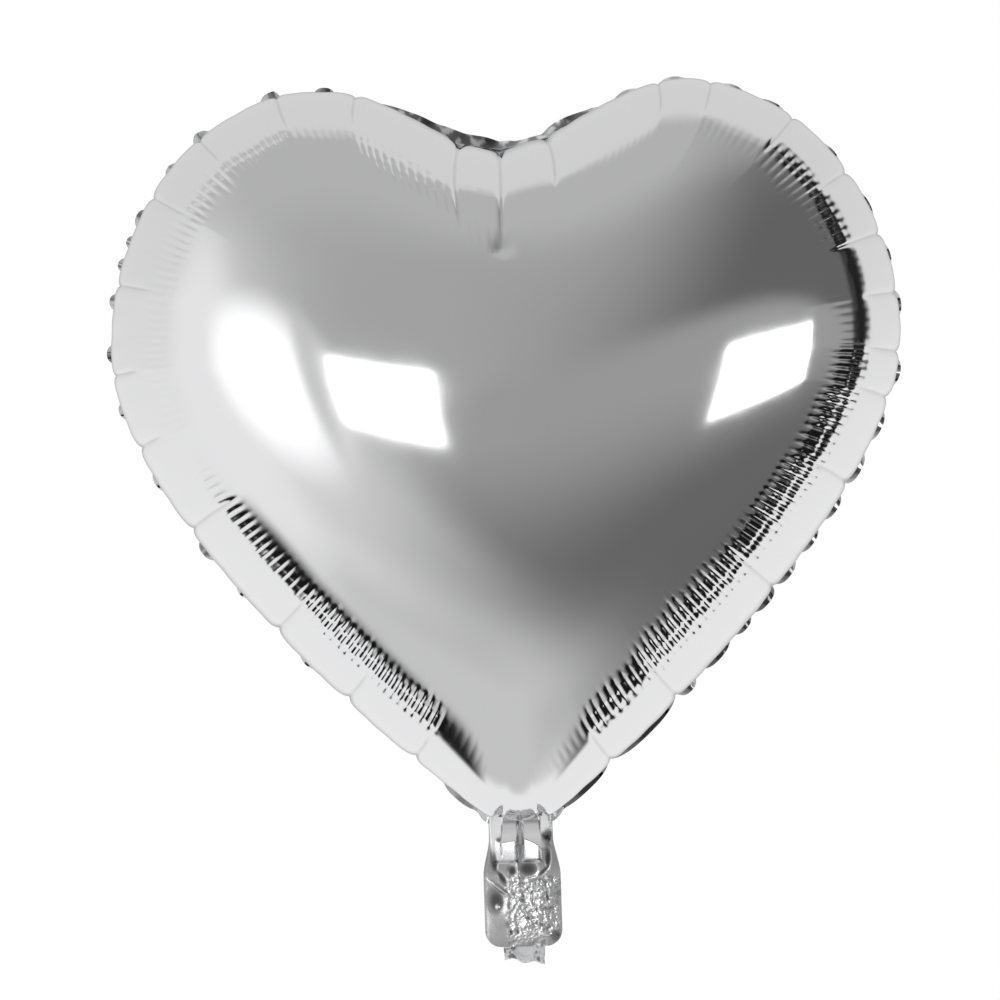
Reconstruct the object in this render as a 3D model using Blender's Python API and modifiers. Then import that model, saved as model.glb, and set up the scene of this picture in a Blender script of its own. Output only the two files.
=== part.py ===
"""Heart-shaped foil balloon, inflated: two metallised film panels heat-sealed together round a heart outline.

A self-sealing valve of two clear films runs from below the tail, through the neck and up into the balloon.
X runs across the heart, Z is up and the front faces -Y. The origin is the middle of the neck's fold line, where a
ribbon is tied. The film is modelled thicker than it really is, so that every wall is a solid.
"""

import math

import bmesh
import bpy
from mathutils import Vector
from mathutils.geometry import interpolate_bezier

# The heart, outside edge of its sealed border, in metres
HEART_WIDTH = 0.390
HEART_HEIGHT = 0.368  # from the fold line to the tops of the lobes
LOBE_SPACING = 0.180  # between the tops of the two lobes
CLEFT_DROP = 0.030  # from the tops of the lobes down to the cleft
WIDEST_HEIGHT = 0.238  # height at which the heart is widest
INFLATED_DEPTH = 0.164  # front to back over the two crowns
CROWN_HEIGHT = 0.215  # height of the crowns
SEAL_WIDTH = 0.006  # the sealed border

# The neck, tail and valve
NECK_SEAL = 0.005  # sealed strip on each side of the valve at the neck
TAIL_SEAL = 0.00825  # and down the tail
TAIL_LENGTH = 0.054
TAIL_SHOULDER = 0.020  # from the fold line to where the tail reaches its full width
TAIL_CORNER = 0.008  # radius of the tail's lower corners
VALVE_WIDTH = 0.020
VALVE_REACH = 0.095  # how far the valve stands inside the balloon
VALVE_STANDOUT = 0.008  # how far the valve's mouth stands out of the tail's lower end
TAIL_FOLD = math.radians(110)  # how far the tail folds forwards or back

# Walls and clearances
FOIL = 0.0006
VALVE_FILM = 0.0004
GAP = 0.0003  # between films that lie on each other
SIDE_GAP = 0.0005  # between the edges of the valve and the seals beside it

# Roundness of the outline: lengths of the curve handles as shares of the span that they shape
SHOULDER_UP = 0.574
SHOULDER_IN = 0.501
LOBE_INNER = 0.475
CLEFT_REACH = 0.359
CLEFT_RISE = math.radians(3)
SIDE_FULLNESS = 0.280
FOOT_FULLNESS = 0.505
FOOT_SLOPE = math.radians(38)
CROWN_RADIUS = 0.165  # radius of the circle that the dome's rings turn into towards the crown

OUTLINE_STEPS = 13  # points on each of the curves of half an outline
DOME_RINGS = 9
CORNER_STEPS = 6

# Where the layers lie, measured from the middle plane
VALVE_INSIDE = GAP / 2
FOIL_INSIDE = VALVE_INSIDE + VALVE_FILM + GAP
HALF_STACK = FOIL_INSIDE + FOIL
FOLD_CLEARANCE = HALF_STACK * math.tan(TAIL_FOLD / 2) + GAP
CHANNEL = VALVE_WIDTH / 2 + SIDE_GAP  # half the width between the two seals of the neck and tail
NECK_WIDTH = 2 * (CHANNEL + NECK_SEAL)
TAIL_WIDTH = 2 * (CHANNEL + TAIL_SEAL)


def make_material(name, colour, roughness, metallic, alpha=1.0):
    material = bpy.data.materials.new(name)
    material.use_nodes = True
    shader = material.node_tree.nodes["Principled BSDF"]
    shader.inputs["Base Color"].default_value = (*colour, 1)
    shader.inputs["Roughness"].default_value = roughness
    shader.inputs["Metallic"].default_value = metallic
    shader.inputs["Alpha"].default_value = alpha
    return material


def mirrored(half):
    """A closed outline from its right half, which runs upwards from the foot to the middle line."""
    return half + [Vector((-p.x, p.y)) for p in reversed(half) if p.x > 1e-9]


def border_half():
    """Right half of the panels' outside edge, from the neck up the side and over the lobe to the cleft."""
    corner = Vector((NECK_WIDTH / 2, FOLD_CLEARANCE))
    foot = corner + Vector((0, SEAL_WIDTH / 2))
    side = Vector((HEART_WIDTH / 2, WIDEST_HEIGHT))
    top = Vector((LOBE_SPACING / 2, HEART_HEIGHT))
    cleft = Vector((0, HEART_HEIGHT - CLEFT_DROP))
    foot_reach = FOOT_FULLNESS * (side.x - foot.x)
    foot_handle = foot + foot_reach * Vector((math.cos(FOOT_SLOPE), math.sin(FOOT_SLOPE)))
    side_low = side - Vector((0, SIDE_FULLNESS * WIDEST_HEIGHT))
    side_high = side + Vector((0, SHOULDER_UP * (top.y - side.y)))
    top_right = top + Vector((SHOULDER_IN * (side.x - top.x), 0))
    top_left = top - Vector((LOBE_INNER * top.x, 0))
    cleft_reach = CLEFT_REACH * top.x
    cleft_handle = cleft + cleft_reach * Vector((math.cos(CLEFT_RISE), math.sin(CLEFT_RISE)))
    curves = (
        (foot, foot_handle, side_low, side),
        (side, side_high, top_right, top),
        (top, top_left, cleft_handle, cleft),
    )
    points = [corner, foot]
    for curve in curves:
        points += interpolate_bezier(*curve, OUTLINE_STEPS)[1:]
    return [Vector(p[:2]) for p in points]


def seam_half():
    """Right half of the line where the sealed border ends and the inflated part starts."""
    border = border_half()[1:]
    seam = []
    for before, point, after in zip(border[:1] + border, border, border[1:]):
        along = (after - before).normalized()
        seam.append(point + SEAL_WIDTH * Vector((-along.y, along.x)))
    foot = Vector((0, seam[0].y))
    cleft = Vector((0, border[-1].y - SEAL_WIDTH))
    return [foot] + [p for p in seam if p.x > 0] + [cleft]


def tail_half():
    """Right half of the tail's outline, from its lower end up to the fold line."""
    top = Vector((NECK_WIDTH / 2, -FOLD_CLEARANCE))
    wide = Vector((TAIL_WIDTH / 2, -TAIL_SHOULDER))
    ease = Vector((0, (top.y - wide.y) / 2))
    flare = [Vector(p[:2]) for p in interpolate_bezier(wide, wide + ease, top - ease, top, OUTLINE_STEPS)]
    centre = Vector((TAIL_WIDTH / 2 - TAIL_CORNER, TAIL_CORNER - TAIL_LENGTH))
    turns = [math.radians(-90 + 90 * step / CORNER_STEPS) for step in range(CORNER_STEPS + 1)]
    corner = [centre + TAIL_CORNER * Vector((math.cos(turn), math.sin(turn))) for turn in turns]
    return corner + flare


def rounder(spoke, share):
    """A spoke from the crown to the outline, brought this share of the way to the crown's circle."""
    return spoke * (CROWN_RADIUS / spoke.length) ** share


def add_loop(bm, outline, depth):
    """A closed loop of edges standing in the plane y = depth."""
    verts = [bm.verts.new((p.x, depth, p.y)) for p in outline]
    return [bm.edges.new((a, b)) for a, b in zip(verts, verts[1:] + verts[:1])]


def add_panel(name, facing, material, collection):
    """One film panel: a flat sealed border, then a dome that rises to its crown. facing is -1 in front, 1 behind."""
    bm = bmesh.new()
    seam = mirrored(seam_half())
    crown = Vector((0, CROWN_HEIGHT))
    rise = INFLATED_DEPTH / 2 - HALF_STACK
    loops = [
        add_loop(bm, mirrored(border_half()), facing * FOIL_INSIDE),
        add_loop(bm, seam, facing * FOIL_INSIDE),
    ]
    for ring in range(1, DOME_RINGS):
        angle = math.pi / 2 * ring / DOME_RINGS
        outline = [crown + rounder(p - crown, math.sin(angle) ** 2) * math.cos(angle) for p in seam]
        loops.append(add_loop(bm, outline, facing * (FOIL_INSIDE + rise * math.sin(angle))))
    for lower, upper in zip(loops, loops[1:]):
        bmesh.ops.bridge_loops(bm, edges=lower + upper)
    cap = bmesh.ops.contextual_create(bm, geom=loops[-1])["faces"]
    crown_vert = bmesh.ops.poke(bm, faces=cap)["verts"][0]
    crown_vert.co = (0, facing * (FOIL_INSIDE + rise), CROWN_HEIGHT)
    bmesh.ops.recalc_face_normals(bm, faces=bm.faces)
    if sum(face.normal.y * face.calc_area() for face in bm.faces) * facing < 0:
        bmesh.ops.reverse_faces(bm, faces=bm.faces)
    mesh = bpy.data.meshes.new(name)
    bm.to_mesh(mesh)
    bm.free()
    mesh.shade_smooth()
    panel = bpy.data.objects.new(name, mesh)
    panel.data.materials.append(material)
    wall = panel.modifiers.new("wall", "SOLIDIFY")
    wall.thickness = FOIL
    wall.offset = 1
    collection.objects.link(panel)
    return panel


def add_plate(name, outline, thickness, depth, material, collection, parent=None):
    """A flat film whose outline stands in the XZ plane, with its middle at y = depth."""
    curve = bpy.data.curves.new(name, "CURVE")
    curve.dimensions = "2D"
    curve.fill_mode = "BOTH"
    curve.extrude = thickness / 2
    spline = curve.splines.new("POLY")
    spline.points.add(len(outline) - 1)
    for point, place in zip(spline.points, outline):
        point.co = (place.x, place.y, 0, 1)
    spline.use_cyclic_u = True
    plate = bpy.data.objects.new(name, curve)
    plate.data.materials.append(material)
    plate.rotation_euler = (math.pi / 2, 0, 0)
    plate.location = (0, depth, 0)
    plate.parent = parent
    collection.objects.link(plate)
    return plate


def rectangle(half_width, low, high):
    return [
        Vector((half_width, low)),
        Vector((half_width, high)),
        Vector((-half_width, high)),
        Vector((-half_width, low)),
    ]


def perimeter_seal_outline():
    """The fused band between the two borders. It stays open at the neck, where the valve passes."""
    outside = border_half()
    inside = [p for p in seam_half() if p.x > CHANNEL or p.y > CROWN_HEIGHT]
    inside = [Vector((CHANNEL, FOLD_CLEARANCE))] + inside
    left_outside = [Vector((-p.x, p.y)) for p in reversed(outside) if p.x > 1e-9]
    left_inside = [Vector((-p.x, p.y)) for p in inside if p.x > 1e-9]
    return outside + left_outside + left_inside + list(reversed(inside))


def tail_seal_outline(side):
    """The fused strip along one edge of the tail, between that edge and the valve. side is -1 left, 1 right."""
    edge = [p for p in tail_half() if p.x > CHANNEL]
    strip = edge + [Vector((CHANNEL, edge[-1].y)), Vector((CHANNEL, edge[0].y))]
    return [Vector((side * p.x, p.y)) for p in strip]


def build():
    for obj in list(bpy.data.objects):
        bpy.data.objects.remove(obj)
    balloon = bpy.data.collections.new("foil_balloon")
    bpy.context.scene.collection.children.link(balloon)

    foil = make_material("silver_foil", (0.82, 0.82, 0.83), 0.10, 1.0)
    sealant = make_material("fused_sealant", (0.70, 0.70, 0.71), 0.35, 0.6)
    clear_film = make_material("clear_valve_film", (0.86, 0.89, 0.90), 0.20, 0.0, alpha=0.45)

    tail_fold = bpy.data.objects.new("tail_fold_axis", None)
    balloon.objects.link(tail_fold)

    add_panel("front_panel", -1, foil, balloon)
    add_panel("back_panel", 1, foil, balloon)
    add_plate("perimeter_seal", perimeter_seal_outline(), 2 * (FOIL_INSIDE - GAP), 0, sealant, balloon)
    for name, side in (("tail_seal_left", -1), ("tail_seal_right", 1)):
        add_plate(name, tail_seal_outline(side), 2 * (FOIL_INSIDE - GAP), 0, sealant, balloon, tail_fold)

    tail = mirrored(tail_half())
    foil_middle = FOIL_INSIDE + FOIL / 2
    film_middle = VALVE_INSIDE + VALVE_FILM / 2
    sleeve = rectangle(VALVE_WIDTH / 2, FOLD_CLEARANCE, VALVE_REACH)
    mouth = rectangle(VALVE_WIDTH / 2, -TAIL_LENGTH - VALVE_STANDOUT, -FOLD_CLEARANCE)
    for label, facing in (("front", -1), ("back", 1)):
        add_plate(f"tail_{label}_foil", tail, FOIL, facing * foil_middle, foil, balloon, tail_fold)
        add_plate(f"valve_sleeve_{label}", sleeve, VALVE_FILM, facing * film_middle, clear_film, balloon)
        add_plate(f"valve_mouth_{label}", mouth, VALVE_FILM, facing * film_middle, clear_film, balloon, tail_fold)


build()
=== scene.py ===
# Heart-shaped foil balloon: two pleated film panels, the seal between them, and the tail with its valve,
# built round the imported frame. Metres, +Z up, the front faces -Y.
import math

import bpy
import numpy as np
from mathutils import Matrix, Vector, noise
from mathutils.geometry import interpolate_bezier


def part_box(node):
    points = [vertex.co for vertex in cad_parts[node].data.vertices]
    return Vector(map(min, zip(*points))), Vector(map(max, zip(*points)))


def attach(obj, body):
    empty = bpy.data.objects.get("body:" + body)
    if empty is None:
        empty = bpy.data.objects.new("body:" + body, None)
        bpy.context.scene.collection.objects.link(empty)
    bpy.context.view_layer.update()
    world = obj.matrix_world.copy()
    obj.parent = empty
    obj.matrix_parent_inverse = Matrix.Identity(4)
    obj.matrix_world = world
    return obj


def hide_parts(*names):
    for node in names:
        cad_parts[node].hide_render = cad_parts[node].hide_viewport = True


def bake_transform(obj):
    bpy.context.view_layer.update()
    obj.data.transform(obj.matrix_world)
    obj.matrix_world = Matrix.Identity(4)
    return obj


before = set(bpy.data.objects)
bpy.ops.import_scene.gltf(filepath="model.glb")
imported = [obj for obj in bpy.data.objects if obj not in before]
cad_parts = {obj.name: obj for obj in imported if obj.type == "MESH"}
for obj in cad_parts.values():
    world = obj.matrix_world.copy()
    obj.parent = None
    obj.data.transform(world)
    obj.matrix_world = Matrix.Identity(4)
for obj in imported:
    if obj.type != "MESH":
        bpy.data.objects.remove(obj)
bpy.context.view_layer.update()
print("frame loaded")

panelLow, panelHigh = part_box("front_panel")
tailLow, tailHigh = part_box("tail_front_foil")
valveLow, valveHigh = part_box("valve_mouth_front")

heart = {
    "halfWidth": panelHigh.x,
    "top": panelHigh.z,
    "neckHalf": 0.0155,
    "neckRise": panelLow.z,
    "lobe": 0.090,  # from the middle to the top of a lobe
    "cleftDrop": 0.030,
    "widest": 0.238,
    "crown": 0.215,
    "depth": -panelLow.y - 0.0022,
    "tautness": 0.35,  # from a plain round section to that of a film that can't stretch
    "border": 0.006,
    "footSlope": math.radians(38),
    "cornerRounding": 0.0035,
    "curvePoints": 150,
}

# how far the outline's handles reach: from the cleft in metres, the others as shares of the way
handles = {
    "cleft": (0.0323, 0.0017),
    "lobeInwards": 0.475,
    "lobeOutwards": 0.501,
    "sideUp": 0.574,
    "sideDown": 0.28,
    "foot": 0.505,
}

# the smooth dome that the film's relief stands on
dome = {
    "edgePoints": 360,
    "sourceEvery": 3,
    "sourceReach": 1.28,  # its sources lie outside the edge, as a share of the way from the crown
    "profilePoints": 4001,
    "spokeSteps": 140,
    "spokeCrowding": 1.7,  # steps lie closer together near the rim
    "spokeHandles": (0.30, 0.42),
    "edgeFade": 6,
    "straightening": 0.008,
}

# each crease: place along half of the outline from the cleft to the neck, how far it runs inwards,
# then the strength and the reach of the fine pleats in the stretch between it and the next one
creases = {
    "middle": (0.052, 0.05, 0.034),
    "neckRight": (0.008, 0.0, 0.03),
    "neckLeft": (0.008, 0.02, 0.03),
    "fromNeck": 0.002,  # share of the outline
    "leftOfMiddle": (0.12, 0.054),
    "right": [
        (0.041, 0.030, 0.04, 0.034), (0.148, 0.020, 0.02, 0.032), (0.193, 0.020, 0.06, 0.032),
        (0.269, 0.030, 0.42, 0.034), (0.334, 0.020, 0.50, 0.034), (0.393, 0.034, 0.10, 0.035),
        (0.445, 0.020, 0.10, 0.035), (0.495, 0.020, 0.50, 0.034), (0.535, 0.020, 0.85, 0.035),
        (0.615, 0.036, 1.00, 0.036), (0.724, 0.036, 1.00, 0.036), (0.848, 0.034, 0.70, 0.032),
        (0.926, 0.022, 0.05, 0.026),
    ],
    "left": [
        (0.034, 0.045, 0.30, 0.040), (0.132, 0.018, 0.10, 0.031), (0.200, 0.022, 0.40, 0.031),
        (0.275, 0.020, 0.50, 0.031), (0.338, 0.026, 0.30, 0.031), (0.418, 0.022, 0.20, 0.030),
        (0.495, 0.016, 0.10, 0.030), (0.560, 0.016, 0.10, 0.029), (0.642, 0.032, 0.35, 0.029),
        (0.754, 0.024, 1.00, 0.030), (0.838, 0.020, 1.00, 0.030), (0.914, 0.016, 0.04, 0.026),
    ],
}

backCreases = {"reach": (0.75, 1.25), "strength": (0.5, 1.3), "least": 0.08}

film = {
    "columns": 1600,
    "rimRows": 42,
    "rimLength": 0.094,  # film length covered by the fine rows
    "rimCrowding": 1.2,
    "middleEvery": 4,  # one column in so many goes on over the middle
    "middleRows": 18,
    "middleShare": 0.82,
    "crownEvery": 20,
    "crownRows": 5,
    "borderRows": 5,
    "gap": 0.00025,  # from the middle plane to the film in the border
    "overhang": 0.0035,  # how far the taut film stands out past the seal
    "overhangLength": 0.0085,
    "belly": 0.0006,
    "bellyFade": (0.004, 0.024),
    "cleftReach": 0.034,  # the film doesn't stand out in the cleft
    "notchDepth": 0.0016,  # creases at the rim
    "notchWidth": 0.0022,
    "notchReach": 0.0045,
    "creaseDepth": 0.0009,  # and over the pillows
    "creaseWidth": 0.0011,
    "creaseFade": 0.6,  # share of its reach at which a crease starts to run out
    "bandEdge": 0.0185,  # plan distance at which the pleats end and the smooth pillows start
    "bandWave": 0.006,
    "chord": 0.70,  # how straight the rim is between two creases
    "chordReach": 0.060,
    "roundNeck": (0.012, 0.045),  # share of the outline from the neck within which it isn't straight
    "pleatPitch": 0.0047,
    "pleatDepth": 0.00085,
    "pleatMiddle": 0.64,
    "pleatDrift": (0.22, 0.012),  # how uneven their pitch is, and over what length
    "pleatRagged": (0.0006, 0.0006, 0.0008),  # spread of their starts; shift and spread of their ends
    "pleatStart": (-0.002, 0.003),
    "pleatStop": (-0.004, 0.001),
    "pleatBlend": 0.003,
    "pleatWeights": (0.75, 1.1),
    "dimple": 0.00030,  # dents across the pleats
    "dimplePitch": 0.0052,
    "dimpleShift": 0.35,
    "pucker": 0.00010,
    "puckerPitch": 0.0280,  # of every second one
    "puckerFade": (0.004, 0.010),
    # painted shade: how dark the thin lines along the creases are
    "creaseShade": 0.20,
    "creaseLine": (0.0006, 0.7),  # half width, and the share of its reach at which it runs out
    "dent": 0.0011,  # at the end of the middle crease
    "dentSize": (0.0060, 0.0045),
    "middleStart": 0.6,  # first step of the coarser rows over the middle and the crown
    "crownStart": 0.8,
}

# the sealed border
flange = {
    "turnedAway": math.radians(-80),  # hidden behind the film
    "turnedOpen": math.radians(-14),  # lying open
    "cleftTurn": math.radians(22),  # how far it is crumpled to and fro in the cleft
    "cleftWave": 0.006,
    "cleftSpan": (0.036, 0.050),
    "neckSpan": (0.015, 0.023),
    "halfOpen": 0.70,
    "halfOpenBelow": (0.30, 0.50),  # a bright stretch is one that lies only half open
    "squareness": 0.7,
    # painted shade on the border where it is turned away
    "hiddenShade": 0.05,
    "shadeBlend": 1.5,
    "rounding": 0.0012,
    "bandEnds": (0.0006, 0.00012),  # the fused band stays this far inside the border's two edges
    "bandFilling": 0.8,
}

# crumpled film over the cleft: how far it goes to the sides and inwards, its painted shade and the painted
# highlights (bright specks) in it
crumple = {
    "searched": (0.055, 0.006),
    "sideways": (0.038, 0.052),
    "inwards": (0.0030, 0.0046),
    "shade": 0.85,
    "filmSpeck": 0.0034,
    "borderSpeck": 0.0042,
    "borderBrightening": 0.9,
    "speckRange": (0.10, 0.34),
}

# stretches where the border lies open to the front, in shares of half the outline: start, end, how dark the
# painted shade on it is
openBorder = {
    "right": [
        (0.000, 0.105, 0.80), (0.106, 0.134, 0.12), (0.150, 0.178, 0.12), (0.200, 0.228, 0.10),
        (0.232, 0.264, 0.25), (0.296, 0.328, 0.10), (0.348, 0.384, 0.30), (0.398, 0.426, 0.15),
        (0.440, 0.470, 0.20), (0.498, 0.526, 0.40), (0.544, 0.576, 0.50), (0.582, 0.616, 0.62),
        (0.624, 0.654, 0.70), (0.658, 0.688, 0.70), (0.691, 0.721, 0.82), (0.722, 0.753, 0.88),
        (0.753, 0.778, 0.84), (0.779, 0.818, 0.90), (0.824, 0.847, 0.76), (0.848, 0.927, 0.86),
        (0.929, 0.992, 0.84),
    ],
    "left": [
        (0.000, 0.120, 0.85), (0.150, 0.170, 0.70), (0.196, 0.216, 0.60), (0.262, 0.282, 0.55),
        (0.300, 0.318, 0.40), (0.348, 0.368, 0.75), (0.372, 0.386, 0.55), (0.392, 0.406, 0.60),
        (0.424, 0.440, 0.65), (0.466, 0.484, 0.85), (0.516, 0.534, 0.40), (0.580, 0.604, 0.35),
        (0.652, 0.676, 0.75), (0.700, 0.720, 0.20), (0.780, 0.804, 0.30), (0.944, 0.988, 0.60),
    ],
}


def smooth(low, high, value):
    portion = np.clip((value - low) / (high - low), 0, 1)
    return portion * portion * (3 - 2 * portion)


def blurLoop(values, width):
    # rounds off a closed row of values
    reach = int(3 * width) + 1
    steps = np.arange(-reach, reach + 1)
    weight = np.exp(-0.5 * (steps / width) ** 2)
    return sum(w * np.roll(values, -step, axis=0) for w, step in zip(weight / weight.sum(), steps))


def unit(vectors):
    return vectors / (np.linalg.norm(vectors, axis=-1, keepdims=True) + 1e-12)


def seamHalf():
    # right half of the line where the sealed border meets the inflated film, from the cleft down to the neck
    side = Vector((heart["halfWidth"], heart["widest"]))
    top = Vector((heart["lobe"], heart["top"]))
    cleft = Vector((0, heart["top"] - heart["cleftDrop"]))
    foot = Vector((heart["neckHalf"], heart["neckRise"] + heart["border"] / 2))
    slope = heart["footSlope"]
    fromCleft = cleft + Vector(handles["cleft"])
    toTop = top - Vector((handles["lobeInwards"] * top.x, 0))
    fromTop = top + Vector((handles["lobeOutwards"] * (side.x - top.x), 0))
    toSide = side + Vector((0, handles["sideUp"] * (top.y - side.y)))
    fromSide = side - Vector((0, handles["sideDown"] * side.y))
    toFoot = foot + handles["foot"] * (side.x - foot.x) * Vector((math.cos(slope), math.sin(slope)))
    points = [cleft]
    curves = ((cleft, fromCleft, toTop, top), (top, fromTop, toSide, side), (side, fromSide, toFoot, foot))
    for curve in curves:
        points += interpolate_bezier(*curve, heart["curvePoints"])[1:]
    outside = np.array([tuple(p)[:2] for p in points])
    along = unit(np.gradient(outside, axis=0))
    inside = outside + heart["border"] * np.column_stack([along[:, 1], -along[:, 0]])
    inside = inside[inside[:, 0] >= 0]
    inside[0, 0] = 0
    return inside


def seamLoop(count):
    # evenly spaced points round the whole seam, clockwise from the cleft as seen from in front
    half = seamHalf()
    neck = np.linspace(half[-1], half[-1] * [-1, 1], 20)[1:-1]
    loop = np.vstack([half, neck, half[::-1] * [-1, 1]])
    along = np.r_[0, np.cumsum(np.linalg.norm(np.diff(loop, axis=0), axis=1))]
    places = np.arange(count) / count * along[-1]
    points = np.column_stack([np.interp(places, along, loop[:, k]) for k in (0, 1)])
    points = blurLoop(points, heart["cornerRounding"] / along[-1] * count)
    return points, along[-1], along[len(half) - 1] / along[-1]


def spread(points, sources):
    # what each outside source adds at each point, and a constant
    distance = ((points[:, None] - sources[None]) ** 2).sum(2)
    return np.column_stack([0.5 * np.log(distance), np.ones(len(points))])


def outwardsOf(loop):
    along = unit(np.roll(loop, -1, axis=0) - np.roll(loop, 1, axis=0))
    return unit(blurLoop(np.column_stack([-along[:, 1], along[:, 0]]), dome["straightening"] * len(loop)))


def overhangAt(columns):
    # how far the taut film stands out past the seal, all round; the cleft holds it back
    share = np.arange(columns) / columns
    fromCleft = np.minimum(share, 1 - share) * seamLoop(dome["edgePoints"])[1]
    return film["overhang"] * (1 - np.exp(-(fromCleft / film["cleftReach"]) ** 2))[:, None]


def makeField():
    # how full film is that is blown up over the plan: not at all at its edge, and most in the middle
    edge = seamLoop(dome["edgePoints"])[0]
    edge = edge + overhangAt(dome["edgePoints"]) * outwardsOf(edge)
    crown = np.array([0, heart["crown"]])
    sources = crown + dome["sourceReach"] * (edge[::dome["sourceEvery"]] - crown)
    wanted = ((edge - crown) ** 2).sum(1) / 4
    weights = np.linalg.lstsq(spread(edge, sources), wanted, rcond=1e-9)[0]
    return {"crown": crown, "sources": sources, "weights": weights}


def fullness(field, points):
    return spread(points, field["sources"]) @ field["weights"] - ((points - field["crown"]) ** 2).sum(1) / 4


def tautProfile():
    # how a taut film that doesn't stretch rises from its rim, against the root of its fullness
    inwards = 1 - np.linspace(0, 1, dome["profilePoints"]) ** 2
    slope = inwards ** 2 / np.sqrt(np.clip(1 - inwards ** 4, 1e-12, None))
    steps = -np.diff(inwards) * (slope[1:] + np.r_[slope[1], slope[1:-1]]) / 2
    rise = np.r_[0, np.cumsum(steps)]
    root = np.sqrt(1 - inwards ** 2)
    return root, root + heart["tautness"] * (rise / rise[-1] - root)


def makeSpokes(columns):
    # lines over the smooth dome from the seam to the crown, with their plan place, height and lengths
    field = makeField()
    crown = field["crown"]
    fullnessRoot, profile = tautProfile()
    seam, length, halfShare = seamLoop(columns)
    outwards = outwardsOf(seam)
    overhang = overhangAt(columns)
    seam = seam + overhang * outwards
    toCrown = crown - seam
    first = seam - outwards * np.linalg.norm(toCrown, axis=1)[:, None] * dome["spokeHandles"][0]
    second = crown - dome["spokeHandles"][1] * toCrown
    most = fullness(field, crown[None])[0]
    edgeError = fullness(field, seam)
    steps = np.linspace(0, 1, dome["spokeSteps"]) ** dome["spokeCrowding"]
    plan = np.empty((columns, len(steps), 2))
    height = np.empty((columns, len(steps)))
    for k, t in enumerate(steps):
        plan[:, k] = (
            (1 - t) ** 3 * seam + 3 * t * (1 - t) ** 2 * first
            + 3 * t * t * (1 - t) * second + t ** 3 * crown
        )
        full = fullness(field, plan[:, k]) - edgeError * (1 - t) ** dome["edgeFade"]
        height[:, k] = heart["depth"] * np.interp(np.sqrt(np.clip(full / most, 0, 1)), fullnessRoot, profile)
    planStep = np.linalg.norm(np.diff(plan, axis=1), axis=2)
    zero = np.zeros((columns, 1))
    return {
        "plan": plan,
        "height": height,
        "planLength": np.hstack([zero, np.cumsum(planStep, axis=1)]),
        "filmLength": np.hstack([zero, np.cumsum(np.hypot(planStep, np.diff(height, axis=1)), axis=1)]),
        "outwards": outwards,
        "overhang": overhang,
        "length": length,
        "halfShare": halfShare,
    }


def onSpokes(spokes, every, lengths):
    # plan place, height and plan length at the given film lengths, one row of them for each column
    chosen = np.arange(0, len(spokes["outwards"]), every)
    known = spokes["filmLength"]
    tables = (spokes["plan"][:, :, 0], spokes["plan"][:, :, 1], spokes["height"], spokes["planLength"])
    return [
        np.array([np.interp(row, known[column], table[column]) for row, column in zip(lengths, chosen)])
        for table in tables
    ]


def creaseMarks(halfShare, seed):
    # every crease in order round the seam, with the pleats of the stretch that follows it
    rows = [(0.0, *creases["middle"])]
    rows += [(place * halfShare, *rest) for place, *rest in creases["right"]]
    rows.append((halfShare + creases["fromNeck"], *creases["neckRight"]))
    rows.append((1 - halfShare - creases["fromNeck"], *creases["neckLeft"]))
    left = sorted((1 - place * halfShare, *rest) for place, *rest in creases["left"])
    # on this side a stretch's pleats are listed with the crease at its far end
    for index, (place, reach, *_) in enumerate(left):
        following = left[index + 1][2:] if index + 1 < len(left) else creases["leftOfMiddle"]
        rows.append((place, reach, *following))
    rows = np.array(rows)
    if seed:
        # the back has the same creases, with reaches and pleats of its own
        draw = np.random.default_rng(seed)
        rows[1:-1, 1] *= draw.uniform(*backCreases["reach"], len(rows) - 2)
        strength = rows[:, 2] * draw.uniform(*backCreases["strength"], len(rows))
        rows[:, 2] = np.clip(strength + backCreases["least"], 0, 1)
    return rows


def stretches(spokes, marks):
    # for every column: its stretch between two creases, its place there, and how far the arc is off its chord
    columns = len(spokes["outwards"])
    share = np.arange(columns) / columns
    starts = marks[:, 0]
    ends = np.r_[starts[1:], 1.0]
    stretch = np.clip(np.searchsorted(starts, share, side="right") - 1, 0, len(marks) - 1)
    within = (share - starts[stretch]) / (ends - starts)[stretch]
    seam = spokes["plan"][:, 0]
    closing = np.vstack([seam, seam[:1]])
    around = np.r_[share, 1.0]
    a = np.column_stack([np.interp(starts[stretch], around, closing[:, k]) for k in (0, 1)])
    b = np.column_stack([np.interp(ends[stretch], around, closing[:, k]) for k in (0, 1)])
    standOff = ((seam - a - (b - a) * within[:, None]) * spokes["outwards"]).sum(1)
    standOff = standOff * smooth(*film["roundNeck"], np.abs(share - 0.5))
    return {
        "share": share,
        "fromCleft": np.minimum(share, 1 - share) * spokes["length"],
        "stretch": stretch,
        "within": within,
        "fromStart": within * (ends - starts)[stretch] * spokes["length"],
        "toEnd": (1 - within) * (ends - starts)[stretch] * spokes["length"],
        "standOff": standOff,
    }


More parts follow.
